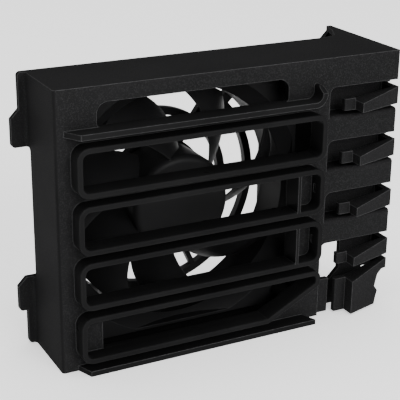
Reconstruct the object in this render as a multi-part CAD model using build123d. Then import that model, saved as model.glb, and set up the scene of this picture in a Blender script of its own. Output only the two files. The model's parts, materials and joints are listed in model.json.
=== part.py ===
from build123d import *
import math
import os

os.makedirs("parts", exist_ok=True)

# Card-guide duct housing with five spring latches and one axial fan.
# Drawing frame: x to the right, y to the rear, z up, millimetres. The front panel's outer
# face lies on y = 0, its left edge on x = 0 and its top edge on z = 0.

# ---------------------------------------------------------------- driving dimensions
CARD_PITCH = 20.32        # standard spacing of expansion cards
CARD_GAP = 2.72           # slot between two ducts, for the edge of one card
DUCT_COUNT = 4
WALL = 2.0                # general moulded wall
DEPTH = 29.0              # top, base and side walls, front to rear
LEDGE_DROP = 16.0         # top edge of the panel to the underside of the ledge
EDGE_ROUND = 0.45         # softened rims and outer corners
JOIN = 0.5                # how far one moulded feature runs into the next
PAST = 1.0                # how far a cutting shape runs past what it cuts
CORNER_ROUND = 1.2        # upright front corner

# card ducts standing out of the front panel
DUCT_REACH = 6.2          # how far the duct rims stand out of the panel
RIM_LEFT = 5.3            # panel's left edge to the duct rims
RIM_RIGHT = 3.2           # duct rims to the right wall of the fan duct
DUCT_CORNER = 2.3
BLIND_WIDTH = 8.9         # closed right end of the middle ducts
DIVIDER_T = 1.2           # rib that closes it off
SIDE_SLOT_H = 3.2         # slot through the right wall of each divided duct
SIDE_SLOT_W = 1.4
SIDE_SLOT_Y = -1.9
CUT_RUN = 20.5            # lowest duct: length of its sloping lower right corner
CUT_END_DROP = 2.9
POST_COVER = 1.05         # panel beside each screw post
PLATE_EXTRA = 0.5         # lowest duct: blank plate beyond the post cover

# ledge under the top window, and the lip at the base
LEDGE_END_FACE = 3.2      # left end of the ledge at the panel
LEDGE_END_RIM = 6.8       # left end of the ledge at its front edge
LEDGE_TURN = 3.4          # the ledge starts to curl up this far before the ducts end
LEDGE_CURL_R = 4.6
LEDGE_CURL_RISE = 4.4     # height of the curled end above the ledge
LEDGE_CURL_FALL = 3.0     # its top slopes down this far towards the rim
LIP_LEFT = 5.9
LIP_RIGHT_STEP = 1.4      # lip ends this far before the duct rims
LIP_SLANT_LEFT = 2.4
LIP_SLANT_RIGHT = 2.5

# top window
TOP_BAND = 5.7            # panel above the window
WINDOW_R_TOP = 4.0
WINDOW_R_LOW = 1.2

# pockets behind the latches, at the right
POCKET_WIDTH = 27.75
POCKET_STEP = 1.05        # fan duct wall to the pockets
POCKET_RISE = 6.26        # card slot to the top of its pocket
POCKET_HEIGHT = 10.9
POCKET_DEPTH = 7.4
SHELF_T = 1.6
POCKET_CORNER = 2.5
SILL_ROUND = 1.2          # front edge of a pocket's floor
HOLE_CORNER = 3.0         # upper corners of the see-through hole
BACK_WALL_INSET = 2.2     # lowest pocket: hook to the left edge of the back wall
BACK_WALL_TRIM = 6.0      # lowest pocket: panel's right edge to the back wall's foot
WALL_FOOT_GAP = 1.4       # right wall ends this far below the tall latch's root
RECESS_RISE = 0.6         # set-back panel under the see-through hole
STEP_FALL = 2.9           # back wall steps down under the hole

# latches
LATCH_ROOT_R = 1.0        # half the thickness of the flexing root
LATCH_GAP = 0.3           # free gap around a moving root
LATCH_PROUD = 0.7         # root stands this far in front of the panel
LATCH_LENGTH = 19.1       # panel's right edge to the hook face
LATCH_HOOK_Y = -6.0
LATCH_TAB_LENGTH = 4.7    # finger tab beyond the hook face
LATCH_TAB_FRONT = -1.0
LATCH_BACK = 1.3
LATCH_SWING = 1.4         # room beyond the tab, which moves outwards as the latch flexes
LATCH_RISE = 3.86         # card slot to the latch's top at its root
LATCH_HEIGHT = 6.7
LATCH_SLOPE_DROP = 3.2    # fall of the top face from root to hook
LATCH_TAB_DROP = 2.3
TALL_GAP = 1.74           # tall latch below the last of the equal ones
TALL_ROOT_HEIGHT = 4.3
TALL_FOOT_GAP = 0.7       # tall latch above the base
TALL_DROP = 4.9
TALL_TAB_DROP = 4.7
# right edge of the tall latch below its root: set-backs from the panel's right edge
TALL_NECK = 2.4
TALL_WAIST_TOP = 4.6
TALL_WAIST = 6.0
TALL_HIP = 4.1
TALL_ANKLE = 5.2
TALL_TOE = 5.8
TALL_SHOULDER = 1.5       # below the root
TALL_WAIST_FALL = 6.3
TALL_HIP_RISE = 5.4       # above the latch's foot
TALL_ANKLE_RISE = 2.0

# side flange at the left, with two mounting tabs
FLANGE_T = 2.0
FLANGE_REACH = 2.7
FLANGE_ROUND = 1.4
TAB_REACH = 5.8
TAB_SLOPE = 3.2
UPPER_TAB_TOP = -12.9
UPPER_TAB_FOOT = -26.4
LOWER_TAB_RISE = 26.5     # lower tab's top above the base
LOWER_TAB_HEIGHT = 12.9
NOTCH_DEPTH = 4.2         # side wall between the tabs is cut back this far
NOTCH_ROUND = 1.6

# horn at the right rear
HORN_REACH = 17.5         # behind the top wall
HORN_FOOT = -27.0
HORN_BLEND = -45.0
HORN_LIP = 3.6
HORN_LIP_TOP = -1.8
GUSSET_WIDTH = 14.4
GUSSET_KNEE = 8.4
GUSSET_STEP = 2.0
HORN_BULGE = 2.2
HORN_BULGE_RUN = 7.5

# fan, by default a standard 92 mm square by 25 mm with 82.5 mm hole spacing
FAN_AIR_GAP = 3.0         # fan to the top wall and to the base wall
FAN_LEFT_GAP = 3.4
FAN_RIGHT_GAP = 5.2
FAN_DEPTH = 25.0
FAN_HOLE_INSET = 4.75
FAN_HOLE_R = 2.15
FAN_FRONT = 9.5           # front face of the fan frame
FAN_LAND = 2.4            # thinnest frame wall beside the bore
FAN_BODY_T = 1.7
FAN_FLANGE_T = 4.0
FAN_CORNER_R = 4.0
FAN_FLARE = 5.4           # mouth widens into the corners by this much
FAN_FLARE_DEPTH = 5.0
FAN_FLARE_RIM = 1.1
BASE_MARGIN = 0.8         # motor base beyond the hub
BASE_T = 2.6
BASE_FLOOR = 0.8
STRUT_W = 2.2
STRUT_ANGLES = (115.0, 235.0, 355.0)

# finger guard behind the fan
GUARD_T = 3.0
GUARD_INNER_R = 16.7
GUARD_INSET = 2.9         # outer ring inside the fan's bore
GUARD_RING_W = 2.9
GUARD_BAR_W = 2.0
GUARD_BARS = 6
GUARD_BAR_START = 55.0
GUARD_EAR_R = 4.2

# screws and posts
SCREW_R = 2.0
SCREW_GAP = 0.05
SCREW_HEAD_R = 3.6
SCREW_HEAD_T = 2.2
SCREW_HEAD_ROUND = 0.9
SCREW_BITE = 6.0
SCREW_TIP_GAP = 0.5
SCREW_SLOT = 1.0
SCREW_SLOT_DEPTH = 1.1
POST_R = 3.6

# blank label on the motor base
LABEL_MARGIN = 0.75
LABEL_T = 0.15

# rotor
HUB_R = 18.7
HUB_WALL = 1.4
HUB_FRONT = 0.8           # cap sits this far behind the frame's front face
HUB_LENGTH = 20.0
HUB_EDGE = 2.6
BLADE_COUNT = 7
BLADE_TIP_GAP = 0.7
BLADE_OVERRUN = 3.0       # blades are drawn this far past the bore, then trimmed round
BLADE_T = 1.5
BLADE_EDGE_T = 0.6
BLADE_BOW = 0.07          # camber as a share of the chord
BLADE_FRONT = 1.0
BLADE_AXIAL_ROOT = 15.5
BLADE_AXIAL_TIP = 15.0
BLADE_SPAN = 34.0         # angle covered by a blade, degrees
BLADE_SWEEP = 38.0        # tip leads the root by this angle, degrees
BLADE_PHASE = 13.2
YOKE_T = 1.0
YOKE_LENGTH = 14.0
MAGNET_T = 2.2
MAGNET_LENGTH = 11.0
MAGNET_BACK_GAP = 1.0
SHAFT_R = 1.5
SHAFT_BOSS_WALL = 1.7
SHAFT_BOSS_T = 4.0
SHAFT_TAIL = 1.2          # shaft end stops this far before the base's outer face
AIR_GAP = 0.6             # magnet to stator

# stator and bearings
BEARING_RING = 2.5        # shaft to the outside of a bearing
BEARING_T = 3.5
BEARING_RELIEF = 0.3      # shields sit this far inside the races
RACE_T = 0.75
SHAFT_RUN = 0.04          # running clearance of the shaft in its bearings
TUBE_T = 1.0
TUBE_GAP = 0.8            # shaft boss to the bearing tube
TUBE_LIP = 0.6            # front bearing behind the tube's mouth
CORE_T = 7.0
CORE_OFFSET = 9.3
CORE_SLOTS = 4
CORE_RING = 2.4
POLE_NECK = 4.0
POLE_TIP_T = 2.0
POLE_SLOT = 3.0
COIL_T = 1.6
COIL_ROUND = 0.9
COIL_GAP = 0.1
INSULATOR_T = 0.9
INSULATOR_SIDE = 0.4
BOARD_GAP = 2.3           # board inside the rotor yoke
BOARD_T = 1.2
BOARD_REAR_GAP = 0.4
CHIP_SIZE = 3.4
CHIP_T = 1.1
CHIP_INSET = 4.0
CLIP_RING = 1.1
CLIP_T = 0.5
CLIP_BITE = 0.35
CLIP_INSET = 1.4
CLIP_GAP = 0.4
CLIP_MOUTH = 1.6
SPRING_WIRE_R = 0.25
SPRING_TURNS = 3.0
SPRING_GAP = 0.35
SPRING_CLEAR = 0.4

# ---------------------------------------------------------------- derived sizes and positions
DUCT_CLEAR = CARD_PITCH - CARD_GAP - 2 * WALL
HEIGHT = LEDGE_DROP + DUCT_COUNT * CARD_PITCH + CARD_GAP + WALL
LEDGE_UNDER = -LEDGE_DROP
LEDGE_TOP = LEDGE_UNDER + WALL
LIP_TOP = WALL - HEIGHT
DUCT_TOPS = [LEDGE_UNDER - CARD_GAP - WALL - CARD_PITCH * i for i in range(DUCT_COUNT)]
FIRST_SLOT = LEDGE_UNDER - CARD_GAP / 2

FAN_SIZE = HEIGHT - 2 * (WALL + FAN_AIR_GAP)
FAN_X = WALL + FAN_LEFT_GAP + FAN_SIZE / 2
FAN_Z = -HEIGHT / 2
FAN_REAR = FAN_FRONT + FAN_DEPTH
FAN_HOLES = FAN_SIZE - 2 * FAN_HOLE_INSET
FAN_BORE_R = FAN_SIZE / 2 - FAN_LAND
FAN_BODY_R = FAN_BORE_R + FAN_BODY_T
FAN_FLARE_R = FAN_BORE_R + FAN_FLARE
FAN_FLARE_SIDE = FAN_SIZE / 2 - FAN_FLARE_RIM
BASE_R = HUB_R + BASE_MARGIN
BASE_FRONT = FAN_REAR - BASE_T
GUARD_OUTER_R = FAN_BORE_R - GUARD_INSET
GUARD_RINGS = (GUARD_INNER_R, (GUARD_INNER_R + GUARD_OUTER_R) / 2, GUARD_OUTER_R)
LABEL_R = GUARD_INNER_R - GUARD_RING_W / 2 - LABEL_MARGIN

INNER_WALL = FAN_X + FAN_SIZE / 2 + FAN_RIGHT_GAP
HOLE_LEFT = INNER_WALL + WALL
POCKET_LEFT = HOLE_LEFT + POCKET_STEP
POCKET_RIGHT = POCKET_LEFT + POCKET_WIDTH
WIDTH = POCKET_RIGHT + WALL
DUCT_LEFT = RIM_LEFT + WALL
DUCT_RIGHT = HOLE_LEFT - RIM_RIGHT - WALL
DIVIDER_X = DUCT_RIGHT - BLIND_WIDTH
CUT_START_X = DUCT_RIGHT - CUT_RUN
WINDOW_LEFT = FAN_X - FAN_HOLES / 2 + POST_R + POST_COVER
WINDOW_RIGHT = FAN_X + FAN_HOLES / 2 - POST_R - POST_COVER
LEDGE_TURN_X = DUCT_RIGHT - LEDGE_TURN
LIP_RIGHT = DUCT_RIGHT + WALL - LIP_RIGHT_STEP

POCKET_COUNT = DUCT_COUNT - 1      # closed pockets; the last one below them is open at its foot
POCKET_TOP = FIRST_SLOT + POCKET_RISE
LAST_POCKET_TOP = POCKET_TOP - POCKET_COUNT * CARD_PITCH
LATCH_TOP = FIRST_SLOT + LATCH_RISE
LATCH_FOOT = LATCH_TOP - LATCH_HEIGHT
LATCH_HINGE_Y = POCKET_DEPTH - LATCH_ROOT_R - LATCH_GAP
LATCH_HOOK_X = WIDTH - LATCH_LENGTH
LATCH_TAB_X = LATCH_HOOK_X - LATCH_TAB_LENGTH
HINGE_X = WIDTH - LATCH_ROOT_R
TALL_TOP = LATCH_FOOT - POCKET_COUNT * CARD_PITCH - TALL_GAP
TALL_ROOT_FOOT = TALL_TOP - TALL_ROOT_HEIGHT
TALL_FOOT = TALL_FOOT_GAP - HEIGHT
SIDE_WALL_END = TALL_ROOT_FOOT - WALL_FOOT_GAP
RECESS_TOP = SIDE_WALL_END + RECESS_RISE
RECESS_RIGHT = LATCH_TAB_X - LATCH_SWING
BACK_STEP_TOP = SIDE_WALL_END - STEP_FALL
BACK_WALL_LEFT = LATCH_HOOK_X + BACK_WALL_INSET
BACK_WALL_RIGHT = WIDTH - BACK_WALL_TRIM
LOWER_TAB_TOP = LOWER_TAB_RISE - HEIGHT
LOWER_TAB_FOOT = LOWER_TAB_TOP - LOWER_TAB_HEIGHT
NOTCH_Y = DEPTH - NOTCH_DEPTH
HORN_REAR = DEPTH + HORN_REACH

BLADE_TIP_R = FAN_BORE_R - BLADE_TIP_GAP
HUB_FACE = FAN_FRONT + HUB_FRONT
HUB_REAR = HUB_FACE + HUB_LENGTH
YOKE_R = HUB_R - HUB_WALL
YOKE_FRONT = HUB_FACE + HUB_WALL
MAGNET_R = YOKE_R - YOKE_T
CORE_R = MAGNET_R - MAGNET_T - AIR_GAP
CORE_MID = YOKE_FRONT + CORE_OFFSET
SHAFT_BOSS_R = SHAFT_R + SHAFT_BOSS_WALL
SHAFT_REAR = FAN_REAR - SHAFT_TAIL
CLIP_FRONT = SHAFT_REAR - CLIP_INSET
CLIP_R = SHAFT_R + CLIP_RING
BEARING_R = SHAFT_R + BEARING_RING
TUBE_R = BEARING_R + TUBE_T
TUBE_FRONT = YOKE_FRONT + SHAFT_BOSS_T + TUBE_GAP
FRONT_BEARING = TUBE_FRONT + TUBE_LIP
REAR_BEARING = CLIP_FRONT - CLIP_GAP - BEARING_T
BOARD_R = YOKE_R - BOARD_GAP
BOARD_FRONT = BASE_FRONT - BOARD_T - BOARD_REAR_GAP
CHIP_X = BOARD_R - CHIP_INSET
# the part's own frame: origin under the middle of its bounding box, on the base
SHIFT = Location((-(WIDTH - TAB_REACH) / 2, -(HORN_REAR - DUCT_REACH) / 2, HEIGHT))


# ---------------------------------------------------------------- small helpers
def block(x0, x1, y0, y1, z0, z1):
    size = Box(x1 - x0, y1 - y0, z1 - z0, align=(Align.MIN, Align.MIN, Align.MIN))
    return Pos(x0, y0, z0) * size


def upright(sketch, y_front, y_rear):
    """Extrude a sketch drawn in x and z between two y planes."""
    plane = Plane(origin=(0, y_rear, 0), x_dir=(1, 0, 0), z_dir=(0, -1, 0))
    return extrude(plane * sketch, amount=y_rear - y_front, dir=(0, -1, 0))


def flat(sketch, z_low, z_high):
    """Extrude a sketch drawn in x and y between two z planes."""
    return extrude(Plane.XY.offset(z_low) * sketch, amount=z_high - z_low, dir=(0, 0, 1))


def sideways(sketch, x_low, x_high):
    """Extrude a sketch drawn in y and z between two x planes."""
    plane = Plane(origin=(x_low, 0, 0), x_dir=(0, 1, 0), z_dir=(1, 0, 0))
    return extrude(plane * sketch, amount=x_high - x_low, dir=(1, 0, 0))


def outline(points, radius=0.0):
    face = Polygon(*points, align=None)
    return fillet(face.vertices(), radius) if radius else face


def window(x0, x1, z0, z1, radius=0.0):
    """Rectangle given by its edges, with round corners if a radius is given."""
    place = Pos((x0 + x1) / 2, (z0 + z1) / 2)
    if radius:
        return place * RectangleRounded(x1 - x0, z1 - z0, radius)
    return place * Rectangle(x1 - x0, z1 - z0)


def round_corners(face, radius, keep):
    """Rounds the corners of a sketch for which keep(x, z) is true."""
    return fillet([v for v in face.vertices() if keep(v.X, v.Y)], radius)


def disc(radius, y_front, y_rear, x=FAN_X, z=FAN_Z):
    return upright(Pos(x, z) * Circle(radius), y_front, y_rear)


def tube(outer, inner, y_front, y_rear):
    return upright(Pos(FAN_X, FAN_Z) * (Circle(outer) - Circle(inner)), y_front, y_rear)


def corner_points(spacing=FAN_HOLES):
    half = spacing / 2
    return [(FAN_X + sx * half, FAN_Z + sz * half) for sx in (-1, 1) for sz in (-1, 1)]


def save(shape, name):
    export_step(shape.moved(SHIFT), f"parts/{name}.step")


# ---------------------------------------------------------------- duct housing
def duct_inside(index):
    """Clear opening of one card duct, as a sketch in x and z."""
    top = DUCT_TOPS[index]
    low = top - DUCT_CLEAR
    if index < DUCT_COUNT - 1:
        return window(DUCT_LEFT, DUCT_RIGHT, low, top, DUCT_CORNER)
    corner = outline(
        [
            (DUCT_LEFT, low),
            (CUT_START_X, low),
            (DUCT_RIGHT, top - CUT_END_DROP),
            (DUCT_RIGHT, top),
            (DUCT_LEFT, top),
        ]
    )
    corner = round_corners(corner, DUCT_CORNER, lambda x, z: x < CUT_START_X - WALL)
    return round_corners(corner, DUCT_CORNER / 2, lambda x, z: x > CUT_START_X + WALL)


def duct_ring(index):
    inner = duct_inside(index)
    ring = upright(offset(inner, WALL, kind=Kind.ARC) - inner, -DUCT_REACH, 0)
    rim = ring.edges().group_by(Axis.Y)[0]
    ring = fillet(rim, EDGE_ROUND)
    if index in (1, 2):
        top = DUCT_TOPS[index]
        half = DIVIDER_T / 2
        low = top - DUCT_CLEAR - JOIN
        rib = block(DIVIDER_X - half, DIVIDER_X + half, -DUCT_REACH, 0, low, top + JOIN)
        mid = top - DUCT_CLEAR / 2
        slot = block(
            DUCT_RIGHT - WALL, DUCT_RIGHT + 2 * WALL,
            SIDE_SLOT_Y - SIDE_SLOT_W / 2, SIDE_SLOT_Y + SIDE_SLOT_W / 2,
            mid - SIDE_SLOT_H / 2, mid + SIDE_SLOT_H / 2,
        )
        ring = ring + rib - slot
    return ring


def duct_through(index):
    """Opening of a duct through the front panel."""
    inner = duct_inside(index)
    top = DUCT_TOPS[index] + WALL
    low = top - DUCT_CLEAR - 2 * WALL
    if index in (1, 2):
        inner = inner & window(0, DIVIDER_X - DIVIDER_T / 2, low, top, EDGE_ROUND)
    if index == DUCT_COUNT - 1:
        inner = inner & window(WINDOW_LEFT + PLATE_EXTRA, WIDTH, low, top, EDGE_ROUND)
    return upright(inner, -EDGE_ROUND, WALL + PAST)


def end_cut(face_x, rim_x, way, z_low, z_high):
    """Cuts an end of the ledge or lip on a slant, from the panel out to the rim."""
    beyond = face_x + way * 2 * DUCT_REACH
    plan = outline(
        [
            (beyond, PAST),
            (face_x, PAST),
            (face_x, 0),
            (rim_x, -DUCT_REACH),
            (rim_x, -DUCT_REACH - PAST),
            (beyond, -DUCT_REACH - PAST),
        ]
    )
    return flat(plan, z_low - PAST, z_high + PAST) - block(
        min(beyond, face_x), max(beyond, face_x), 0, PAST, z_low - PAST, z_high + PAST
    )


def ledge():
    """Shelf under the top window; its right end curls upwards."""
    centre_z = LEDGE_UNDER + LEDGE_CURL_R
    inner_r = LEDGE_CURL_R - WALL
    leg_x = LEDGE_TURN_X + LEDGE_CURL_R
    tip_z = LEDGE_TOP + LEDGE_CURL_RISE
    flat_part = window(LEDGE_END_FACE, LEDGE_TURN_X, LEDGE_UNDER, LEDGE_TOP)
    ring = Pos(LEDGE_TURN_X, centre_z) * (Circle(LEDGE_CURL_R) - Circle(inner_r))
    quarter = window(LEDGE_TURN_X, leg_x, LEDGE_UNDER, centre_z)
    leg = window(leg_x - WALL, leg_x, centre_z, tip_z)
    tip = Pos(leg_x - WALL / 2, tip_z) * Circle(WALL / 2)
    body = upright(flat_part + (ring & quarter) + leg + tip, -DUCT_REACH, 0)
    slant = outline(
        [
            (-WALL / 2, tip_z + WALL),
            (-DUCT_REACH - PAST, tip_z + WALL / 2 - LEDGE_CURL_FALL),
            (-DUCT_REACH - PAST, tip_z + 2 * WALL),
            (-WALL / 2, tip_z + 2 * WALL),
        ]
    )
    body = body - sideways(slant, leg_x - WALL - PAST, leg_x + PAST)
    return body - end_cut(LEDGE_END_FACE, LEDGE_END_RIM, -1, LEDGE_UNDER, LEDGE_TOP)


def base_lip():
    """Lip along the base; both ends are cut on a slant."""
    low = -HEIGHT
    body = block(LIP_LEFT, LIP_RIGHT, -DUCT_REACH, 0, low, LIP_TOP)
    body = body - end_cut(LIP_LEFT, LIP_LEFT + LIP_SLANT_LEFT, -1, low, LIP_TOP)
    return body - end_cut(LIP_RIGHT - LIP_SLANT_RIGHT, LIP_RIGHT, 1, low, LIP_TOP)


def pocket_corner(left, top):
    """Rounding in the upper left corner of a latch pocket."""
    r = POCKET_CORNER
    square = window(left - JOIN, left + r, top - r, top + JOIN)
    return square - Pos(left + r, top - r) * Circle(r)


def front_panel():
    side = HOLE_LEFT - JOIN
    face = window(0, POCKET_LEFT, LAST_POCKET_TOP, 0)
    face = face + window(0, HOLE_LEFT, -HEIGHT, 0)
    face = face + window(side, WIDTH, POCKET_TOP, 0)
    for k in range(POCKET_COUNT):
        high = POCKET_TOP - POCKET_HEIGHT - k * CARD_PITCH
        face = face + window(side, WIDTH, POCKET_TOP - (k + 1) * CARD_PITCH, high)
        face = face + pocket_corner(POCKET_LEFT, POCKET_TOP - k * CARD_PITCH)
    face = face + pocket_corner(HOLE_LEFT, LAST_POCKET_TOP)
    panel = upright(face, 0, WALL)
    opening = window(WINDOW_LEFT, WINDOW_RIGHT, LEDGE_TOP, -TOP_BAND)
    middle = (LEDGE_TOP - TOP_BAND) / 2
    opening = round_corners(opening, WINDOW_R_TOP, lambda x, z: z > middle)
    opening = round_corners(opening, WINDOW_R_LOW, lambda x, z: z < LEDGE_TOP + EDGE_ROUND)
    panel = panel - upright(opening, -PAST, WALL + PAST)
    for index in range(DUCT_COUNT):
        panel = panel - duct_through(index)
    return panel


def outer_walls():
    top = block(0, WIDTH, 0, DEPTH, -WALL, 0)
    base = block(0, HOLE_LEFT, 0, DEPTH, -HEIGHT, WALL - HEIGHT)
    left = block(0, WALL, 0, DEPTH - FLANGE_T, -HEIGHT, 0)
    inner = block(INNER_WALL, HOLE_LEFT, 0, DEPTH, -HEIGHT, 0)
    return top + base + left + inner


def left_flange():
    upper = outline(
        [
            (WALL, 0),
            (-FLANGE_REACH, 0),
            (-FLANGE_REACH, UPPER_TAB_TOP),
            (-TAB_REACH, UPPER_TAB_TOP - TAB_SLOPE),
            (-TAB_REACH, UPPER_TAB_FOOT),
            (WALL, UPPER_TAB_FOOT),
        ]
    )
    upper = round_corners(
        upper, FLANGE_ROUND, lambda x, z: x < 0 and (z > -PAST or z < UPPER_TAB_FOOT + PAST)
    )
    lower = outline(
        [
            (WALL, LOWER_TAB_TOP),
            (-FLANGE_REACH, LOWER_TAB_TOP),
            (-TAB_REACH, LOWER_TAB_TOP - TAB_SLOPE),
            (-TAB_REACH, LOWER_TAB_FOOT),
            (-FLANGE_REACH, LOWER_TAB_FOOT),
            (-FLANGE_REACH, -HEIGHT),
            (WALL, -HEIGHT),
        ]
    )
    mid = (LOWER_TAB_FOOT - HEIGHT) / 2
    lower = round_corners(lower, FLANGE_ROUND, lambda x, z: x < 0 and z < mid)
    lower = round_corners(
        lower, FLANGE_ROUND, lambda x, z: x < -FLANGE_REACH - PAST and z < LOWER_TAB_FOOT + PAST
    )
    front = DEPTH - FLANGE_T
    plates = upright(upper, front, DEPTH) + upright(lower, front, DEPTH)
    bend = Pos(-CORNER_ROUND / 2, front - CORNER_ROUND / 2) * Rectangle(CORNER_ROUND, CORNER_ROUND)
    bend = bend - Pos(-CORNER_ROUND, front - CORNER_ROUND) * Circle(CORNER_ROUND)
    return plates + flat(bend, UPPER_TAB_FOOT, 0) + flat(bend, -HEIGHT, LOWER_TAB_TOP)


def corner_cut():
    """Takes the sharp edge off the upright front corner."""
    square = Pos(CORNER_ROUND / 2, CORNER_ROUND / 2) * Rectangle(CORNER_ROUND, CORNER_ROUND)
    sharp = square - Pos(CORNER_ROUND, CORNER_ROUND) * Circle(CORNER_ROUND)
    return flat(sharp, -HEIGHT - PAST, PAST)


def flange_notch():
    """Length of side wall cut short between the two tabs."""
    shape = outline(
        [
            (NOTCH_Y, UPPER_TAB_FOOT),
            (DEPTH + PAST, UPPER_TAB_FOOT),
            (DEPTH + PAST, LOWER_TAB_TOP),
            (NOTCH_Y, LOWER_TAB_TOP),
        ]
    )
    inner = shape.vertices().group_by(Axis.X)[0]
    return sideways(fillet(inner, NOTCH_ROUND), -PAST, WALL + PAST)


def right_wall():
    """Right wall with its horn; notched at each latch root."""
    side = outline(
        [
            (0, 0),
            (HORN_REAR, 0),
            (HORN_REAR, HORN_FOOT),
            (DEPTH, HORN_BLEND),
            (DEPTH, SIDE_WALL_END),
            (LATCH_HINGE_Y - LATCH_ROOT_R, SIDE_WALL_END),
            (0, SIDE_WALL_END),
        ]
    )
    wall = sideways(side, WIDTH - WALL, WIDTH)
    gusset = outline(
        [
            (WIDTH - GUSSET_WIDTH, DEPTH - PAST),
            (WIDTH - GUSSET_WIDTH, DEPTH),
            (WIDTH - GUSSET_KNEE, DEPTH + GUSSET_STEP),
            (WIDTH - WALL - HORN_BULGE, HORN_REAR - HORN_BULGE_RUN),
            (WIDTH - WALL, HORN_REAR),
            (WIDTH, HORN_REAR),
            (WIDTH, DEPTH - PAST),
        ]
    )
    lip = outline(
        [
            (WIDTH, HORN_LIP_TOP),
            (WIDTH - WALL, HORN_LIP_TOP),
            (WIDTH - WALL - HORN_LIP, HORN_LIP_TOP - HORN_LIP),
            (WIDTH - WALL - HORN_LIP, HORN_FOOT),
            (WIDTH, HORN_FOOT),
        ]
    )
    return wall + flat(gusset, -WALL, 0) + upright(lip, HORN_REAR - WALL, HORN_REAR)


def latch_levels():
    """Top and underside of each latch root, first to last."""
    levels = []
    for k in range(DUCT_COUNT):
        levels.append((LATCH_TOP - k * CARD_PITCH, LATCH_FOOT - k * CARD_PITCH))
    levels.append((TALL_TOP, TALL_ROOT_FOOT))
    return levels


def root_notches():
    """Cuts in the right wall that leave each latch free to flex."""
    front_end = LATCH_HINGE_Y - LATCH_ROOT_R - LATCH_GAP
    cuts = []
    for k in range(POCKET_COUNT):
        top = POCKET_TOP - k * CARD_PITCH
        low = top - POCKET_HEIGHT
        cuts.append(block(POCKET_RIGHT - JOIN, WIDTH + PAST, -PAST, front_end, low, top))
    low = SIDE_WALL_END - PAST
    cuts.append(block(POCKET_RIGHT - JOIN, WIDTH + PAST, -PAST, front_end, low, LAST_POCKET_TOP))
    socket_r = LATCH_ROOT_R + LATCH_GAP
    for top, foot in latch_levels():
        seat = Pos(HINGE_X, LATCH_HINGE_Y) * Circle(socket_r)
        mouth = Pos(HINGE_X, front_end / 2) * Rectangle(2 * socket_r, front_end + 2 * socket_r)
        cuts.append(flat(seat + mouth, foot - LATCH_GAP, top + LATCH_GAP))
    return cuts


def pocket_cells():
    """Shelves, divider and back wall of the latch pockets."""
    rear = POCKET_DEPTH + WALL
    near = POCKET_LEFT - JOIN
    far = POCKET_RIGHT + JOIN
    cells = block(INNER_WALL, POCKET_LEFT, 0, rear, LAST_POCKET_TOP, -WALL)
    for k in range(POCKET_COUNT + 1):
        top = POCKET_TOP - k * CARD_PITCH
        cells = cells + block(near, far, 0, rear, top, top + SHELF_T)
        if k < POCKET_COUNT:
            low = top - POCKET_HEIGHT
            cells = cells + block(near, far, 0, rear, low - SHELF_T, low)
    upper = block(near, far, POCKET_DEPTH, rear, LAST_POCKET_TOP, -WALL)
    step_left = RECESS_RIGHT - WALL
    lower = outline(
        [
            (BACK_WALL_LEFT, LAST_POCKET_TOP + SHELF_T),
            (BACK_WALL_LEFT, BACK_STEP_TOP + 2 * WALL),
            (BACK_WALL_LEFT - 2 * WALL, BACK_STEP_TOP),
            (step_left, BACK_STEP_TOP),
            (step_left, -HEIGHT),
            (BACK_WALL_RIGHT, -HEIGHT),
            (BACK_WALL_RIGHT, SIDE_WALL_END),
            (far, SIDE_WALL_END),
            (far, LAST_POCKET_TOP + SHELF_T),
        ]
    )
    cells = cells + upper + upright(lower, POCKET_DEPTH, rear)
    recess = block(INNER_WALL, RECESS_RIGHT, WALL, 2 * WALL, -HEIGHT, RECESS_TOP)
    riser = block(step_left, RECESS_RIGHT, WALL, rear, -HEIGHT, BACK_STEP_TOP)
    return cells + recess + riser + hole_corners()


def hole_corners():
    """Rounded upper corners of the see-through hole below the last closed pocket."""
    r = HOLE_CORNER
    top = LAST_POCKET_TOP
    corners = None
    for x, way in ((HOLE_LEFT, 1), (BACK_WALL_LEFT, -1)):
        mid = x + way * r
        square = window(min(x - way * JOIN, mid), max(x - way * JOIN, mid), top - r, top + JOIN)
        fill = upright(square - Pos(mid, top - r) * Circle(r), POCKET_DEPTH, POCKET_DEPTH + WALL)
        corners = fill if corners is None else corners + fill
    return corners


def sill_cut(floor):
    """Rounds the front edge of a pocket's floor."""
    r = SILL_ROUND
    square = window(-PAST, r, floor - r, floor + PAST)
    round_edge = Pos(r, floor - r) * Circle(r)
    below = window(0, r, floor - r, floor) & round_edge
    return sideways(square - below, POCKET_LEFT, WIDTH + PAST)


def screw_posts():
    """Posts that take the fan screws, each on a web from the nearest wall."""
    posts = None
    for x, z in corner_points():
        wall_x = WALL / 2 if x < FAN_X else INNER_WALL + WALL / 2
        web = block(
            min(x, wall_x), max(x, wall_x), WALL / 2, FAN_FRONT - WALL / 2, z - WALL / 2, z + WALL / 2
        )
        post = disc(POST_R, WALL / 2, FAN_FRONT, x, z) + web
        posts = post if posts is None else posts + post
    return posts


def duct_housing():
    body = front_panel() + outer_walls() + left_flange() + right_wall() + pocket_cells() + screw_posts()
    for index in range(DUCT_COUNT):
        body = body + duct_ring(index)
    body = body + ledge() + base_lip()
    body = body - flange_notch()
    for k in range(POCKET_COUNT):
        body = body - sill_cut(POCKET_TOP - POCKET_HEIGHT - k * CARD_PITCH)
    for cut in root_notches():
        body = body - cut
    for x, z in corner_points():
        body = body - disc(SCREW_R + SCREW_GAP, FAN_FRONT - SCREW_BITE, FAN_FRONT + PAST, x, z)
    return body - corner_cut()


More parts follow.
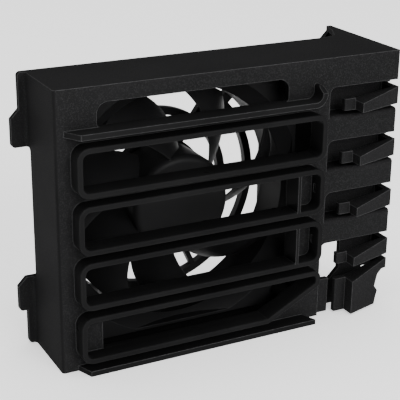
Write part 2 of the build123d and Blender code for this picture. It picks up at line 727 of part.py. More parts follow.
# ---------------------------------------------------------------- latches
def latch_plan():
    """Plan of a latch: flexing root, wedge with hook face, and finger tab."""
    return outline(
        [
            (WIDTH, -LATCH_PROUD),
            (WIDTH, LATCH_HINGE_Y),
            (WIDTH - 2 * LATCH_ROOT_R, LATCH_HINGE_Y),
            (WIDTH - 2 * LATCH_ROOT_R, LATCH_BACK),
            (LATCH_TAB_X, LATCH_BACK),
            (LATCH_TAB_X, LATCH_TAB_FRONT),
            (LATCH_HOOK_X, LATCH_TAB_FRONT),
            (LATCH_HOOK_X, LATCH_HOOK_Y),
        ]
    ) + Pos(HINGE_X, LATCH_HINGE_Y) * Circle(LATCH_ROOT_R)


def tab_cut(top, drop):
    """Lowers the finger tab below the latch's top."""
    front = LATCH_HOOK_Y - PAST
    rear = LATCH_BACK + PAST
    return block(LATCH_TAB_X - PAST, LATCH_HOOK_X, front, rear, top - drop, top + PAST)


def slope_cut(top, drop):
    """Wedge that takes the latch's top face down towards the hook."""
    wedge = outline(
        [
            (WIDTH + PAST, top),
            (LATCH_HOOK_X, top - drop),
            (LATCH_HOOK_X, top + PAST),
            (WIDTH + PAST, top + PAST),
        ]
    )
    return upright(wedge, LATCH_HOOK_Y - PAST, POCKET_DEPTH)


def latch(top, foot):
    body = flat(latch_plan(), foot, top)
    body = body - slope_cut(top, LATCH_SLOPE_DROP)
    body = body - tab_cut(top, LATCH_TAB_DROP)
    tip = body.edges().filter_by(Axis.Z).sort_by(Axis.X)[:2]
    return fillet(tip, EDGE_ROUND)


def tall_latch():
    body = flat(latch_plan(), TALL_FOOT, TALL_TOP)
    body = body - slope_cut(TALL_TOP, TALL_DROP)
    body = body - tab_cut(TALL_TOP, TALL_TAB_DROP)
    waist = outline(
        [
            (WIDTH + PAST, TALL_ROOT_FOOT),
            (WIDTH - TALL_NECK, TALL_ROOT_FOOT),
            (WIDTH - TALL_WAIST_TOP, TALL_ROOT_FOOT - TALL_SHOULDER),
            (WIDTH - TALL_WAIST, TALL_ROOT_FOOT - TALL_WAIST_FALL),
            (WIDTH - TALL_HIP, TALL_FOOT + TALL_HIP_RISE),
            (WIDTH - TALL_ANKLE, TALL_FOOT + TALL_ANKLE_RISE),
            (WIDTH - TALL_TOE, TALL_FOOT - PAST),
            (WIDTH + PAST, TALL_FOOT - PAST),
        ]
    )
    body = body - upright(waist, LATCH_HOOK_Y - PAST, POCKET_DEPTH)
    tip = body.edges().filter_by(Axis.Z).sort_by(Axis.X)[:2]
    return fillet(tip, EDGE_ROUND)


# ---------------------------------------------------------------- fan frame, guard, screws
def flared_mouth(y_face, direction):
    """Widening of the fan's bore into the square corners."""
    length = FAN_FLARE_DEPTH
    cone = Cone(FAN_BORE_R, FAN_FLARE_R, length, align=(Align.CENTER, Align.CENTER, Align.MIN))
    turn = Rot(90, 0, 0) if direction < 0 else Rot(-90, 0, 0)
    cone = Pos(FAN_X, y_face - direction * length, FAN_Z) * turn * cone
    side = FAN_FLARE_SIDE
    limit = block(FAN_X - side, FAN_X + side, y_face - length, y_face + length, FAN_Z - side, FAN_Z + side)
    return cone & limit


def strut(angle, width, r_in, r_out, y_front, y_rear):
    bar = Rot(0, 0, angle) * (Pos((r_in + r_out) / 2, 0) * Rectangle(r_out - r_in, width))
    return upright(Pos(FAN_X, FAN_Z) * bar, y_front, y_rear)


def fan_frame():
    square = Pos(FAN_X, FAN_Z) * RectangleRounded(FAN_SIZE, FAN_SIZE, FAN_CORNER_R)
    body = upright(square, FAN_FRONT, FAN_FRONT + FAN_FLANGE_T)
    body = body + upright(square, FAN_REAR - FAN_FLANGE_T, FAN_REAR)
    body = body + disc(FAN_BODY_R, FAN_FRONT, FAN_REAR)
    body = body - disc(FAN_BORE_R, FAN_FRONT - PAST, FAN_REAR + PAST)
    body = body - flared_mouth(FAN_FRONT, -1) - flared_mouth(FAN_REAR, 1)
    for x, z in corner_points():
        body = body - disc(FAN_HOLE_R, FAN_FRONT - PAST, FAN_REAR + PAST, x, z)
    base = disc(BASE_R, BASE_FRONT, FAN_REAR)
    for angle in STRUT_ANGLES:
        arm = strut(angle, STRUT_W, BASE_R - JOIN, FAN_FLARE_R + JOIN, BASE_FRONT, FAN_REAR)
        base = base + (arm & upright(square, BASE_FRONT, FAN_REAR))
    base = base - disc(TUBE_R, BASE_FRONT - PAST, FAN_REAR - BASE_FLOOR)
    return body + base


def base_label():
    return disc(LABEL_R, FAN_REAR, FAN_REAR + LABEL_T)


def finger_guard():
    rear = FAN_REAR + GUARD_T
    body = None
    half = GUARD_RING_W / 2
    for radius in GUARD_RINGS:
        ring = tube(radius + half, radius - half, FAN_REAR, rear)
        body = ring if body is None else body + ring
    step = 360 / GUARD_BARS
    for k in range(GUARD_BARS):
        angle = GUARD_BAR_START + k * step
        body = body + strut(angle, GUARD_BAR_W, GUARD_RINGS[0], GUARD_RINGS[-1], FAN_REAR, rear)
    reach = FAN_HOLES / math.sqrt(2)
    for k in range(4):
        body = body + strut(45 + 90 * k, 2 * GUARD_BAR_W, GUARD_RINGS[-1], reach, FAN_REAR, rear)
    for x, z in corner_points():
        body = body + disc(GUARD_EAR_R, FAN_REAR, rear, x, z)
    for x, z in corner_points():
        body = body - disc(FAN_HOLE_R, FAN_REAR - PAST, rear + PAST, x, z)
    return body


def fan_screws():
    """Four identical screws through guard and fan into the housing posts."""
    head_front = FAN_REAR + GUARD_T
    tip = FAN_FRONT - SCREW_BITE + SCREW_TIP_GAP
    screws = []
    for x, z in corner_points():
        shank = disc(SCREW_R, tip, head_front, x, z)
        head = disc(SCREW_HEAD_R, head_front, head_front + SCREW_HEAD_T, x, z)
        head = fillet(head.edges().group_by(Axis.Y)[-1], SCREW_HEAD_ROUND)
        slot = SCREW_SLOT / 2
        arm = SCREW_R
        rear = head_front + SCREW_HEAD_T
        for w, h in ((slot, arm), (arm, slot)):
            head = head - block(x - w, x + w, rear - SCREW_SLOT_DEPTH, rear + PAST, z - h, z + h)
        screws.append(shank + head)
    return Compound(children=screws)


# ---------------------------------------------------------------- rotor
def blade_section(radius, axial, turn):
    """Cambered strip across the blade at one radius, turned about the fan's axis."""
    arc = math.radians(BLADE_SPAN) * radius
    front = HUB_FACE + BLADE_FRONT
    length = math.hypot(arc, axial)
    bow = BLADE_BOW * length
    half = BLADE_T / 2
    edge = BLADE_EDGE_T / 2
    across, along = axial / length, arc / length
    start = (arc / 2, front)
    end = (-arc / 2, front + axial)
    centre = (-across * bow, front + axial / 2 - along * bow)
    sides = []
    for way in (1, -1):
        side = []
        for point, reach in ((start, edge), (centre, half), (end, edge)):
            side.append((point[0] + way * across * reach, point[1] + way * along * reach))
        sides.append(Spline(side))
    upper, lower = sides
    caps = [Line(upper @ 0, lower @ 0), Line(upper @ 1, lower @ 1)]
    face = make_face(sides + caps)
    plane = Plane(origin=(radius, 0, 0), x_dir=(0, 0, 1), z_dir=(-1, 0, 0))
    return Rot(0, -turn, 0) * (plane * face)


def blade():
    inner = HUB_R - 2 * HUB_WALL
    outer = FAN_BORE_R + BLADE_OVERRUN
    sections = []
    for radius in (inner, (inner + outer) / 2, outer):
        share = (radius - HUB_R) / (BLADE_TIP_R - HUB_R)
        axial = BLADE_AXIAL_ROOT + (BLADE_AXIAL_TIP - BLADE_AXIAL_ROOT) * share
        sections.append(blade_section(radius, axial, BLADE_SWEEP * share))
    return loft(sections)


def impeller():
    cup = disc(HUB_R, HUB_FACE, HUB_REAR)
    cup = fillet(cup.edges().group_by(Axis.Y)[0], HUB_EDGE)
    one = blade()
    one = one & disc(BLADE_TIP_R, HUB_FACE, HUB_REAR + PAST, 0, 0)
    step = 360 / BLADE_COUNT
    for k in range(BLADE_COUNT):
        cup = cup + Pos(FAN_X, 0, FAN_Z) * Rot(0, BLADE_PHASE + k * step, 0) * one
    cup = cup - disc(YOKE_R, YOKE_FRONT, FAN_REAR)
    cup = cup + disc(SHAFT_BOSS_R, YOKE_FRONT - JOIN, YOKE_FRONT + SHAFT_BOSS_T)
    return cup - disc(SHAFT_R, YOKE_FRONT, FAN_REAR)


def rotor_yoke():
    cup = disc(YOKE_R, YOKE_FRONT, YOKE_FRONT + YOKE_LENGTH)
    cup = cup - disc(MAGNET_R, YOKE_FRONT + YOKE_T, YOKE_FRONT + YOKE_LENGTH + PAST)
    return cup - disc(SHAFT_BOSS_R, YOKE_FRONT - PAST, YOKE_FRONT + YOKE_T + PAST)


def ring_magnet():
    front = YOKE_FRONT + YOKE_T + MAGNET_BACK_GAP
    return tube(MAGNET_R, MAGNET_R - MAGNET_T, front, front + MAGNET_LENGTH)


def rotor_shaft():
    body = disc(SHAFT_R, YOKE_FRONT, SHAFT_REAR)
    return body - tube(SHAFT_R + PAST, SHAFT_R - CLIP_BITE, CLIP_FRONT, CLIP_FRONT + CLIP_T)


def retaining_clip():
    ring = tube(CLIP_R, SHAFT_R - CLIP_BITE, CLIP_FRONT, CLIP_FRONT + CLIP_T)
    half = CLIP_MOUTH / 2
    far = FAN_X + CLIP_R + PAST
    return ring - block(FAN_X, far, CLIP_FRONT - PAST, SHAFT_REAR, FAN_Z - half, FAN_Z + half)


def preload_spring():
    front = YOKE_FRONT + SHAFT_BOSS_T + SPRING_WIRE_R
    rear = FRONT_BEARING - SPRING_GAP - SPRING_WIRE_R
    radius = SHAFT_R + SPRING_WIRE_R + SPRING_CLEAR
    height = rear - front
    helix = Helix(pitch=height / SPRING_TURNS, height=height, radius=radius)
    path = Pos(FAN_X, front, FAN_Z) * Rot(-90, 0, 0) * helix
    profile = Plane(origin=path @ 0, z_dir=path % 0) * Circle(SPRING_WIRE_R)
    return sweep(profile, path=path)


# ---------------------------------------------------------------- stator side
def bearing_tube():
    body = tube(TUBE_R, BEARING_R, TUBE_FRONT, FAN_REAR - BASE_FLOOR)
    middle = tube(BEARING_R + TUBE_T / 2, BEARING_R - TUBE_T, FRONT_BEARING + BEARING_T, REAR_BEARING)
    return body + middle


def bearings():
    """Two equal bearings on the shaft."""
    pair = []
    for front in (FRONT_BEARING, REAR_BEARING):
        ring = tube(BEARING_R, SHAFT_R + SHAFT_RUN, front, front + BEARING_T)
        for face in (front, front + BEARING_T):
            shield = tube(
                BEARING_R - RACE_T, SHAFT_R + RACE_T, face - BEARING_RELIEF, face + BEARING_RELIEF
            )
            ring = ring - shield
        pair.append(ring)
    return Compound(children=pair)


def pole_sketch(tip_r, neck, grow=0.0):
    """Cross of poles with curved tips, as a sketch in x and z."""
    shape = Circle(TUBE_R + CORE_RING + grow)
    for k in range(CORE_SLOTS):
        arm = Pos(tip_r / 2, 0) * Rectangle(tip_r, neck + 2 * grow)
        shape = shape + Rot(0, 0, k * 360 / CORE_SLOTS) * arm
    if grow == 0.0:
        rim = Circle(tip_r) - Circle(tip_r - POLE_TIP_T)
        for k in range(CORE_SLOTS):
            turn = Rot(0, 0, (k + 0.5) * 360 / CORE_SLOTS)
            gap = turn * (Pos(tip_r, 0) * Rectangle(2 * tip_r, POLE_SLOT))
            rim = rim - gap
        shape = shape + rim
    shape = shape & Circle(tip_r)
    return Pos(FAN_X, FAN_Z) * (shape - Circle(TUBE_R))


def stator_core():
    half = CORE_T / 2
    return upright(pole_sketch(CORE_R, POLE_NECK), CORE_MID - half, CORE_MID + half)


def stator_insulators():
    """Front and rear plastic covers of the core."""
    half = CORE_T / 2
    sketch = pole_sketch(CORE_R - POLE_TIP_T, POLE_NECK, INSULATOR_SIDE)
    front = upright(sketch, CORE_MID - half - INSULATOR_T, CORE_MID - half)
    rear = upright(sketch, CORE_MID + half, CORE_MID + half + INSULATOR_T)
    return Compound(children=[front, rear])


def windings():
    """One coil on each pole."""
    coils = []
    r_in = TUBE_R + CORE_RING + 2 * INSULATOR_SIDE
    hole_h = CORE_T + 2 * INSULATOR_T
    outer_h = hole_h + 2 * COIL_T
    hole_w = POLE_NECK + 2 * INSULATOR_SIDE
    outer_w = hole_w + 2 * COIL_T
    rim_r = CORE_R - POLE_TIP_T - COIL_GAP
    r_out = math.sqrt(rim_r**2 - (outer_w / 2) ** 2)
    for k in range(CORE_SLOTS):
        length = r_out - r_in
        ring = Box(length, outer_h, outer_w) - Box(length + PAST, hole_h, hole_w)
        outer = ring.edges().filter_by(Axis.X).sort_by(lambda e: e.center().length)[-4:]
        ring = fillet(outer, COIL_ROUND)
        placed = Pos((r_in + r_out) / 2, 0, 0) * ring
        coils.append(Pos(FAN_X, CORE_MID, FAN_Z) * Rot(0, k * 360 / CORE_SLOTS, 0) * placed)
    return Compound(children=coils)


def motor_board():
    return tube(BOARD_R, TUBE_R, BOARD_FRONT, BOARD_FRONT + BOARD_T)


def board_chips():
    """Sensor and driver chips on the motor board."""
    chips = []
    half = CHIP_SIZE / 2
    for angle in (0, 150):
        chip = block(CHIP_X - half, CHIP_X + half, BOARD_FRONT - CHIP_T, BOARD_FRONT, -half, half)
        chips.append(Pos(FAN_X, 0, FAN_Z) * Rot(0, angle, 0) * chip)
    return Compound(children=chips)


# ---------------------------------------------------------------- build
save(duct_housing(), "duct_housing")
for number, (root_top, root_foot) in enumerate(latch_levels()[:DUCT_COUNT], start=1):
    save(latch(root_top, root_foot), f"card_latch_{number}")
save(tall_latch(), "card_latch_5")
save(fan_frame(), "fan_frame")
save(base_label(), "base_label")
save(finger_guard(), "finger_guard")
save(fan_screws(), "fan_screws")
save(impeller(), "impeller")
save(rotor_yoke(), "rotor_yoke")
save(ring_magnet(), "ring_magnet")
save(rotor_shaft(), "rotor_shaft")
save(retaining_clip(), "retaining_clip")
save(preload_spring(), "preload_spring")
save(bearing_tube(), "bearing_tube")
save(bearings(), "bearings")
save(stator_core(), "stator_core")
save(stator_insulators(), "stator_insulators")
save(windings(), "windings")
save(motor_board(), "motor_board")
save(board_chips(), "board_chips")
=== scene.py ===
import json
import math

import bpy
from mathutils import Euler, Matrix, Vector


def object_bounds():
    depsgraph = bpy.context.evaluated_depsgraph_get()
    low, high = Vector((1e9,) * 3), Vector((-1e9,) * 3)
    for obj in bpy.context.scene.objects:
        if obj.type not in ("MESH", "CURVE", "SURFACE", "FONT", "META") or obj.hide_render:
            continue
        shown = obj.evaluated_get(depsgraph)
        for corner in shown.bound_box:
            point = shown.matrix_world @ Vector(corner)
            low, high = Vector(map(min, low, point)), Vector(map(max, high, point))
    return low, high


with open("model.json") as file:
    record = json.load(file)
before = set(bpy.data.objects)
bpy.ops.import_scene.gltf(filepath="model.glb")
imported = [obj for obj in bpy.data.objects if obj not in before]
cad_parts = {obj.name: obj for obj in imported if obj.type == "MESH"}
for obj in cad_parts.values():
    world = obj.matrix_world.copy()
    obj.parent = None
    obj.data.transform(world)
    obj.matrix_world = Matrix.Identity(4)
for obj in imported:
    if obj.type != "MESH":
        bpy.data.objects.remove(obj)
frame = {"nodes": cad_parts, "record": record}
cad_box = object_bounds()
nodes = frame["nodes"]

MM = 0.001


# ------------------------------------------------------------------ camera
CAMERA_AT = Vector((-0.1841, -0.35265, 0.19845))
# degrees: turned to the right, tipped below level, rolled about the line of sight
CAMERA_YAW = 27.40
CAMERA_DOWN = 20.78
CAMERA_ROLL = 0.63
# millimetres, as Blender's camera takes them
LENS = 102.64
SENSOR = 36.0
CLIP_START = 0.01

data = bpy.data.cameras.new("camera")
camera = bpy.data.objects.new("camera", data)
bpy.context.scene.collection.objects.link(camera)
data.sensor_width = SENSOR
data.lens = LENS
data.clip_start = CLIP_START
camera.location = CAMERA_AT
tilt = math.radians(90 - CAMERA_DOWN)
aim = Euler((tilt, 0, math.radians(-CAMERA_YAW)), "XYZ").to_matrix()
roll = Euler((0, 0, math.radians(CAMERA_ROLL)), "XYZ").to_matrix()
camera.rotation_euler = (aim @ roll).to_euler()
bpy.context.scene.camera = camera


# ------------------------------------------------------------------ nodes
# the range that a noise pattern mostly keeps to, and the one used for slow changes of shade
NOISE_LOW, NOISE_HIGH = 0.3, 0.7
SHADE_LOW, SHADE_HIGH = 0.35, 0.68
# cosine of the angle between true and rounded normal, on a flat face and on a full edge
EDGE_FLAT, EDGE_FULL = 0.995, 0.86
BEVEL_SAMPLES = 6
# a Mix node has one set of sockets for each kind of data, told apart by number
VALUE_A, VALUE_B, VALUE_OUT = 2, 3, 0
COLOUR_A, COLOUR_B, COLOUR_OUT = 6, 7, 2


def feed(tree, socket, value):
    """Link a socket to another node's output, or set it to a number, vector or colour."""
    if isinstance(value, bpy.types.NodeSocket):
        tree.links.new(value, socket)
    else:
        socket.default_value = value


def add(tree, kind, inputs, **settings):
    """A new node of a kind, with its settings made and its inputs fed."""
    node = tree.nodes.new(kind)
    for key, value in settings.items():
        setattr(node, key, value)
    for key, value in inputs.items():
        feed(tree, node.inputs[key], value)
    return node


def new_material(name):
    mat = bpy.data.materials.new(name)
    mat.use_nodes = True
    tree = mat.node_tree
    tree.nodes.clear()
    shader = tree.nodes.new("ShaderNodeBsdfPrincipled")
    add(tree, "ShaderNodeOutputMaterial", {"Surface": shader.outputs["BSDF"]})
    return mat, tree, shader


def dress(tree, shader, inputs):
    for key, value in inputs.items():
        feed(tree, shader.inputs[key], value)


def coordinates(tree):
    return tree.nodes.new("ShaderNodeTexCoord").outputs["Object"]


def noise(tree, place, scale, detail, rough):
    inputs = {"Vector": place, "Scale": scale, "Detail": detail, "Roughness": rough}
    return add(tree, "ShaderNodeTexNoise", inputs).outputs["Fac"]


def ramp(tree, value, low, high, colour_low, colour_high):
    """A colour that goes from one to another as a value goes from low to high."""
    node = add(tree, "ShaderNodeValToRGB", {"Fac": value})
    first, last = node.color_ramp.elements
    first.position, first.color = low, (*colour_low, 1)
    last.position, last.color = high, (*colour_high, 1)
    return node.outputs["Color"]


def spread(tree, value, low, high, out_low, out_high):
    """A value moved from one range to another and kept inside it."""
    inputs = {
        "Value": value,
        "From Min": low, "From Max": high,
        "To Min": out_low, "To Max": out_high,
    }
    return add(tree, "ShaderNodeMapRange", inputs).outputs["Result"]


def vary(tree, pattern, low, high):
    """A noise pattern spread over a range."""
    return spread(tree, pattern, NOISE_LOW, NOISE_HIGH, low, high)


def calc(tree, operation, *terms):
    node = add(tree, "ShaderNodeMath", dict(enumerate(terms)), operation=operation)
    return node.outputs["Value"]


def mix_colour(tree, fac, first, second):
    if isinstance(second, tuple):
        second = (*second, 1)
    inputs = {"Factor": fac, COLOUR_A: first, COLOUR_B: second}
    return add(tree, "ShaderNodeMix", inputs, data_type="RGBA").outputs[COLOUR_OUT]


def mix_value(tree, fac, first, second):
    inputs = {"Factor": fac, VALUE_A: first, VALUE_B: second}
    return add(tree, "ShaderNodeMix", inputs, data_type="FLOAT").outputs[VALUE_OUT]


def edge_mask(tree, radius):
    """The normal with rounded edges, and a mask: 0 on flat faces, rising to 1 on edges."""
    bevel = add(tree, "ShaderNodeBevel", {"Radius": radius}, samples=BEVEL_SAMPLES)
    normal = bevel.outputs["Normal"]
    true_normal = tree.nodes.new("ShaderNodeNewGeometry").outputs["Normal"]
    both = {0: normal, 1: true_normal}
    cosine = add(tree, "ShaderNodeVectorMath", both, operation="DOT_PRODUCT").outputs["Value"]
    return normal, spread(tree, cosine, EDGE_FLAT, EDGE_FULL, 0.0, 1.0)


def bump(tree, height, distance, strength, normal=None):
    inputs = {"Height": height, "Distance": distance, "Strength": strength}
    if normal is not None:
        inputs["Normal"] = normal
    return add(tree, "ShaderNodeBump", inputs).outputs["Normal"]


# ------------------------------------------------------------------ plastics
# where the housing's outer faces lie, and how far below them the grain still counts;
# right of POCKETS_X, round the latch pockets, everything is grained
PANEL_Y = -20.15 * MM
LEFT_X = -64.8 * MM
POCKETS_X = 40.3 * MM
TOP_Z = cad_box[1][2]
SKIN = 0.12 * MM
# spark-eroded outer faces; the IOR is lower than real plastic's, to keep gloss off the walls
GRAIN_SCALE = 2500.0
GRAIN_HEIGHT = 0.09 * MM
GRAIN_BUMP = 0.6
GRAIN_ROUGH = (0.57, 0.67)
GRAIN_IOR = 1.05
GRAIN_DARK = (0.0100, 0.0100, 0.0103)
GRAIN_LIGHT = (0.0125, 0.0125, 0.0128)
GRAIN_SPARK = (0.0215, 0.0215, 0.022)
SPARK_LOW, SPARK_HIGH = 0.50, 0.68
# polished ducts and inside
POLISH_ROUGH = (0.26, 0.35)
POLISH_DARK = (0.0080, 0.0080, 0.0082)
POLISH_LIGHT = (0.0110, 0.0110, 0.0112)
# painted highlight: paler edges of the housing and the latches, fading where the breakup
# noise is weak
EDGE_WIDTH = 0.45 * MM
EDGE_HIGHLIGHT = (0.09, 0.09, 0.092)
EDGE_HIGHLIGHT_SPREAD = (0.35, 1.0)
# the other plastics; roughness changes from patch to patch and from grain to grain
MOULDED_IOR = 1.18
MOULDED_BUMP = 0.5
MOULDED_EDGE = 0.35 * MM
MOULDED_HIGHLIGHT_SPREAD = (0.45, 1.0)
PATCH_ROUGH = 0.05
FINE_ROUGH = 0.05


def outer_skin(tree, place):
    """1 on the housing's grained outer faces, 0 on its polished ducts and inside."""
    split = add(tree, "ShaderNodeSeparateXYZ", {"Vector": place})
    x, y, z = split.outputs
    skin = calc(tree, "COMPARE", y, PANEL_Y, SKIN)
    for face in (
        calc(tree, "GREATER_THAN", z, TOP_Z - SKIN),
        calc(tree, "LESS_THAN", x, LEFT_X + SKIN),
        calc(tree, "GREATER_THAN", x, POCKETS_X),
    ):
        skin = calc(tree, "MAXIMUM", skin, face)
    return skin


def textured(name, skin=None):
    """Black moulding with an eroded grain; with a skin mask the rest is polished."""
    mat, tree, shader = new_material(name)
    place = coordinates(tree)
    slow = noise(tree, place, scale=30.0, detail=3.0, rough=0.55)
    speck = noise(tree, place, GRAIN_SCALE, detail=1.5, rough=0.5)
    highlight_breakup = noise(tree, place, scale=700.0, detail=4.0, rough=0.7)
    patch = noise(tree, place, scale=60.0, detail=4.0, rough=0.6)
    sparkle = spread(tree, speck, SPARK_LOW, SPARK_HIGH, 0.0, 1.0)
    base = ramp(tree, slow, SHADE_LOW, SHADE_HIGH, GRAIN_DARK, GRAIN_LIGHT)
    colour = mix_colour(tree, sparkle, base, GRAIN_SPARK)
    rough = vary(tree, patch, *GRAIN_ROUGH)
    strength = GRAIN_BUMP
    if skin is not None:
        mask = skin(tree, place)
        shade = ramp(tree, slow, SHADE_LOW, SHADE_HIGH, POLISH_DARK, POLISH_LIGHT)
        colour = mix_colour(tree, mask, shade, colour)
        smooth = vary(tree, patch, *POLISH_ROUGH)
        rough = mix_value(tree, mask, smooth, rough)
        strength = calc(tree, "MULTIPLY", mask, GRAIN_BUMP)
    normal, edge_highlight = edge_mask(tree, EDGE_WIDTH)
    # the paler edges are painted highlight, broken up by noise
    painted_highlight = calc(tree, "MULTIPLY", edge_highlight, vary(tree, highlight_breakup, *EDGE_HIGHLIGHT_SPREAD))
    dress(tree, shader, {
        "Base Color": mix_colour(tree, painted_highlight, colour, EDGE_HIGHLIGHT),
        "Roughness": rough,
        "IOR": GRAIN_IOR,
        "Normal": bump(tree, speck, GRAIN_HEIGHT, strength, normal),
    })
    return mat


def moulded(name, dark, light, edge_highlight, rough, grain, grain_height, edge_radius=MOULDED_EDGE):
    """Moulded plastic: fine grain, slow shade changes, and a painted highlight on the edges,
    broken up by noise.
    """
    mat, tree, shader = new_material(name)
    place = coordinates(tree)
    slow = noise(tree, place, scale=28.0, detail=3.0, rough=0.55)
    fine = noise(tree, place, grain, detail=2.0, rough=0.6)
    highlight_breakup = noise(tree, place, scale=900.0, detail=4.0, rough=0.7)
    patch = noise(tree, place, scale=65.0, detail=4.0, rough=0.6)
    base = ramp(tree, slow, SHADE_LOW, SHADE_HIGH, dark, light)
    normal, mask = edge_mask(tree, edge_radius)
    # the paler edges are painted highlight, broken up by noise
    painted_highlight = calc(tree, "MULTIPLY", mask, vary(tree, highlight_breakup, *MOULDED_HIGHLIGHT_SPREAD))
    fine_part = vary(tree, fine, -FINE_ROUGH, FINE_ROUGH)
    patch_part = vary(tree, patch, rough - PATCH_ROUGH, rough + PATCH_ROUGH)
    dress(tree, shader, {
        "Base Color": mix_colour(tree, painted_highlight, base, edge_highlight),
        "Roughness": calc(tree, "ADD", fine_part, patch_part),
        "IOR": MOULDED_IOR,
        "Normal": bump(tree, fine, grain_height, MOULDED_BUMP, normal),
    })
    return mat


# ------------------------------------------------------------------ metals
METAL_EDGE = 0.15 * MM
METAL_HIGHLIGHT_GAIN = 1.25
METAL_BUMP = 0.25
METAL_HEIGHT = 0.02 * MM
# how much smoother and rougher than the rest the lines are
METAL_SMOOTHER, METAL_ROUGHER = 0.07, 0.1
WIRE_SCALE = 900.0
WIRE_WOBBLE = 1.5
WIRE_HEIGHT = 0.08 * MM
WIRE_BUMP = 1.0
COPPER_METALLIC = 0.9
COPPER_ROUGH = 0.32
COPPER_LOW, COPPER_HIGH = 0.1, 0.9
COPPER_DARK = (0.24, 0.075, 0.03)
COPPER_LIGHT = (0.72, 0.30, 0.13)


def metal(name, dark, light, rough, stretch, scale):
    """Drawn, turned or brushed metal with fine directional lines."""
    mat, tree, shader = new_material(name)
    place = coordinates(tree)
    drawn = add(tree, "ShaderNodeMapping", {"Vector": place, "Scale": stretch})
    lines = noise(tree, drawn.outputs["Vector"], scale, detail=3.0, rough=0.65)
    slow = noise(tree, place, scale=120.0, detail=2.0, rough=0.5)
    base = ramp(tree, slow, NOISE_LOW, NOISE_HIGH, dark, light)
    normal, mask = edge_mask(tree, METAL_EDGE)
    # the paler edges are painted highlight
    edge_highlight_colour = tuple(min(1.0, part * METAL_HIGHLIGHT_GAIN) for part in light)
    dress(tree, shader, {
        "Base Color": mix_colour(tree, mask, base, edge_highlight_colour),
        "Metallic": 1.0,
        "Roughness": vary(tree, lines, rough - METAL_SMOOTHER, rough + METAL_ROUGHER),
        "Normal": bump(tree, lines, METAL_HEIGHT, METAL_BUMP, normal),
    })
    return mat


def wound_copper(name):
    """Enamelled wire laid in close turns."""
    mat, tree, shader = new_material(name)
    wave = {"Vector": coordinates(tree), "Scale": WIRE_SCALE, "Distortion": WIRE_WOBBLE}
    wires = add(tree, "ShaderNodeTexWave", wave, wave_type="BANDS", bands_direction="Y")
    turns = wires.outputs["Fac"]
    dress(tree, shader, {
        "Base Color": ramp(tree, turns, COPPER_LOW, COPPER_HIGH, COPPER_DARK, COPPER_LIGHT),
        "Metallic": COPPER_METALLIC,
        "Roughness": COPPER_ROUGH,
        "Normal": bump(tree, turns, WIRE_HEIGHT, WIRE_BUMP),
    })
    return mat


# ------------------------------------------------------------------ what each node is made of
# each row: dark and light shades, the shade of the painted edge highlight, roughness, scale
# and height of the grain
MOULDED = {
    "guard_plastic": (
        (0.02, 0.02, 0.0205), (0.027, 0.027, 0.0275), (0.06, 0.06, 0.062),
        0.5, 4200.0, 0.04 * MM,
    ),
    "label_film": (
        (0.20, 0.20, 0.205), (0.25, 0.25, 0.255), (0.36, 0.36, 0.36),
        0.42, 2400.0, 0.01 * MM,
    ),
    "magnet_rubber": (
        (0.03, 0.027, 0.024), (0.045, 0.041, 0.037), (0.08, 0.075, 0.07),
        0.7, 3600.0, 0.05 * MM,
    ),
    "insulator_plastic": (
        (0.58, 0.56, 0.5), (0.66, 0.64, 0.58), (0.75, 0.74, 0.7),
        0.45, 3000.0, 0.02 * MM,
    ),
    "board_laminate": (
        (0.02, 0.1, 0.045), (0.03, 0.14, 0.06), (0.35, 0.36, 0.25),
        0.35, 5000.0, 0.02 * MM,
    ),
    "chip_plastic": (
        (0.02, 0.02, 0.02), (0.028, 0.028, 0.028), (0.08, 0.08, 0.08),
        0.55, 5000.0, 0.03 * MM,
    ),
}
# each row: dark and light shade, roughness, stretch and scale of the lines
METALS = {
    "screw_steel": ((0.30, 0.30, 0.31), (0.42, 0.42, 0.43), 0.34, (1, 1, 1), 900.0),
    "tube_brass": ((0.55, 0.38, 0.16), (0.70, 0.50, 0.24), 0.3, (1, 12, 1), 600.0),
    "bearing_steel": ((0.42, 0.42, 0.43), (0.56, 0.56, 0.57), 0.24, (1, 8, 1), 900.0),
    "yoke_steel": ((0.36, 0.36, 0.37), (0.5, 0.5, 0.51), 0.34, (8, 1, 8), 500.0),
    "shaft_steel": ((0.5, 0.5, 0.51), (0.62, 0.62, 0.63), 0.18, (1, 10, 1), 900.0),
    "spring_steel": ((0.34, 0.34, 0.35), (0.48, 0.48, 0.49), 0.3, (1, 1, 1), 1200.0),
    "core_steel": ((0.2, 0.2, 0.22), (0.34, 0.34, 0.36), 0.42, (1, 60, 1), 120.0),
}
# the fan's blades and frame have finer edges than the other mouldings
FAN_PLASTIC = {
    "dark": (0.008, 0.008, 0.0083),
    "light": (0.011, 0.011, 0.0114),
    # the shade of the painted highlight on the edges
    "edge_highlight": (0.035, 0.035, 0.036),
    "rough": 0.46,
    "grain": 3000.0,
    "grain_height": 0.015 * MM,
    "edge_radius": 0.25 * MM,
}

materials = {
    "shroud_plastic": textured("shroud_plastic", outer_skin),
    "fan_plastic": moulded("fan_plastic", **FAN_PLASTIC),
    "winding_copper": wound_copper("winding_copper"),
    **{name: moulded(name, *row) for name, row in MOULDED.items()},
    **{name: metal(name, *row) for name, row in METALS.items()},
}
# the latches are the housing's plastic, grained all over
latch_plastic = textured("latch_plastic")

for entry in frame["record"]["subparts"]:
    mat = materials[entry["material_slot"]]
    if entry["node"].startswith("card_latch"):
        mat = latch_plastic
    for used in nodes[entry["node"]].material_slots:
        used.material = mat


# ------------------------------------------------------------------ floor and light
FLOOR_HALF = 9.0
FLOOR_PARTS = 12
FLOOR_GLOW = 0.8
FLOOR_ROUGH = 0.95
FLOOR_DARK = (0.90, 0.90, 0.90)
FLOOR_LIGHT = (0.92, 0.92, 0.92)
# brightness of the sky near the horizon and overhead, and the heights (as a sine) between
HORIZON, HORIZON_HEIGHT = 0.08, 0.45
ZENITH, ZENITH_HEIGHT = 0.8, 0.85
MIDDLE = Vector((0.0, 0.0, 0.05))


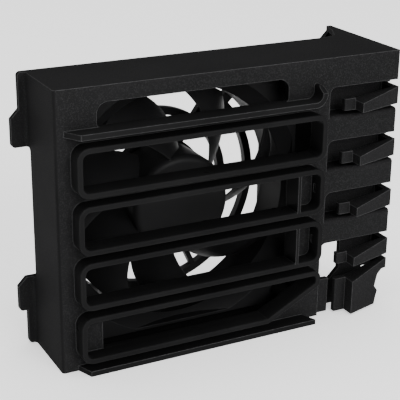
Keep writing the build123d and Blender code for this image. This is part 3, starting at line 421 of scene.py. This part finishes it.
def floor():
    """A wide flat floor, nearly white and lit from within like a light table."""
    row = FLOOR_PARTS + 1
    step = 2 * FLOOR_HALF / FLOOR_PARTS
    lines = [-FLOOR_HALF + i * step for i in range(row)]
    points = [(x, y, 0) for y in lines for x in lines]
    faces = []
    for k in range(FLOOR_PARTS):
        for i in range(FLOOR_PARTS):
            corner = k * row + i
            faces.append((corner, corner + 1, corner + row + 1, corner + row))
    mesh = bpy.data.meshes.new("floor")
    mesh.from_pydata(points, [], faces)
    obj = bpy.data.objects.new("floor", mesh)
    bpy.context.scene.collection.objects.link(obj)
    mat, tree, shader = new_material("floor_paint")
    cloud = noise(tree, coordinates(tree), scale=3.0, detail=2.0, rough=0.5)
    dress(tree, shader, {
        "Base Color": ramp(tree, cloud, NOISE_LOW, NOISE_HIGH, FLOOR_DARK, FLOOR_LIGHT),
        "Roughness": FLOOR_ROUGH,
        "Specular IOR Level": 0.0,
        "Emission Color": (1, 1, 1, 1),
        "Emission Strength": FLOOR_GLOW,
    })
    mesh.materials.append(mat)


def sky():
    """Dark near the horizon and bright overhead."""
    world = bpy.data.worlds.new("world")
    bpy.context.scene.world = world
    world.use_nodes = True
    tree = world.node_tree
    way = tree.nodes.new("ShaderNodeTexCoord").outputs["Generated"]
    height = add(tree, "ShaderNodeSeparateXYZ", {"Vector": way}).outputs["Z"]
    low, high = (HORIZON,) * 3, (ZENITH,) * 3
    colour = ramp(tree, height, HORIZON_HEIGHT, ZENITH_HEIGHT, low, high)
    feed(tree, tree.nodes["Background"].inputs["Color"], colour)


def area(name, at, size, power):
    """A square light that faces the part."""
    light = bpy.data.lights.new(name, "AREA")
    light.shape = "SQUARE"
    light.size = size
    light.energy = power
    obj = bpy.data.objects.new(name, light)
    bpy.context.scene.collection.objects.link(obj)
    obj.location = at
    obj.rotation_euler = (MIDDLE - Vector(at)).to_track_quat("-Z", "Y").to_euler()


floor()
sky()
area("key", at=(0.15, -1.35, 0.6), size=0.9, power=18.5)
area("fill", at=(0.9, -1.2, 0.5), size=1.0, power=4.0)
area("top", at=(0.0, 0.2, 1.7), size=1.6, power=24.0)
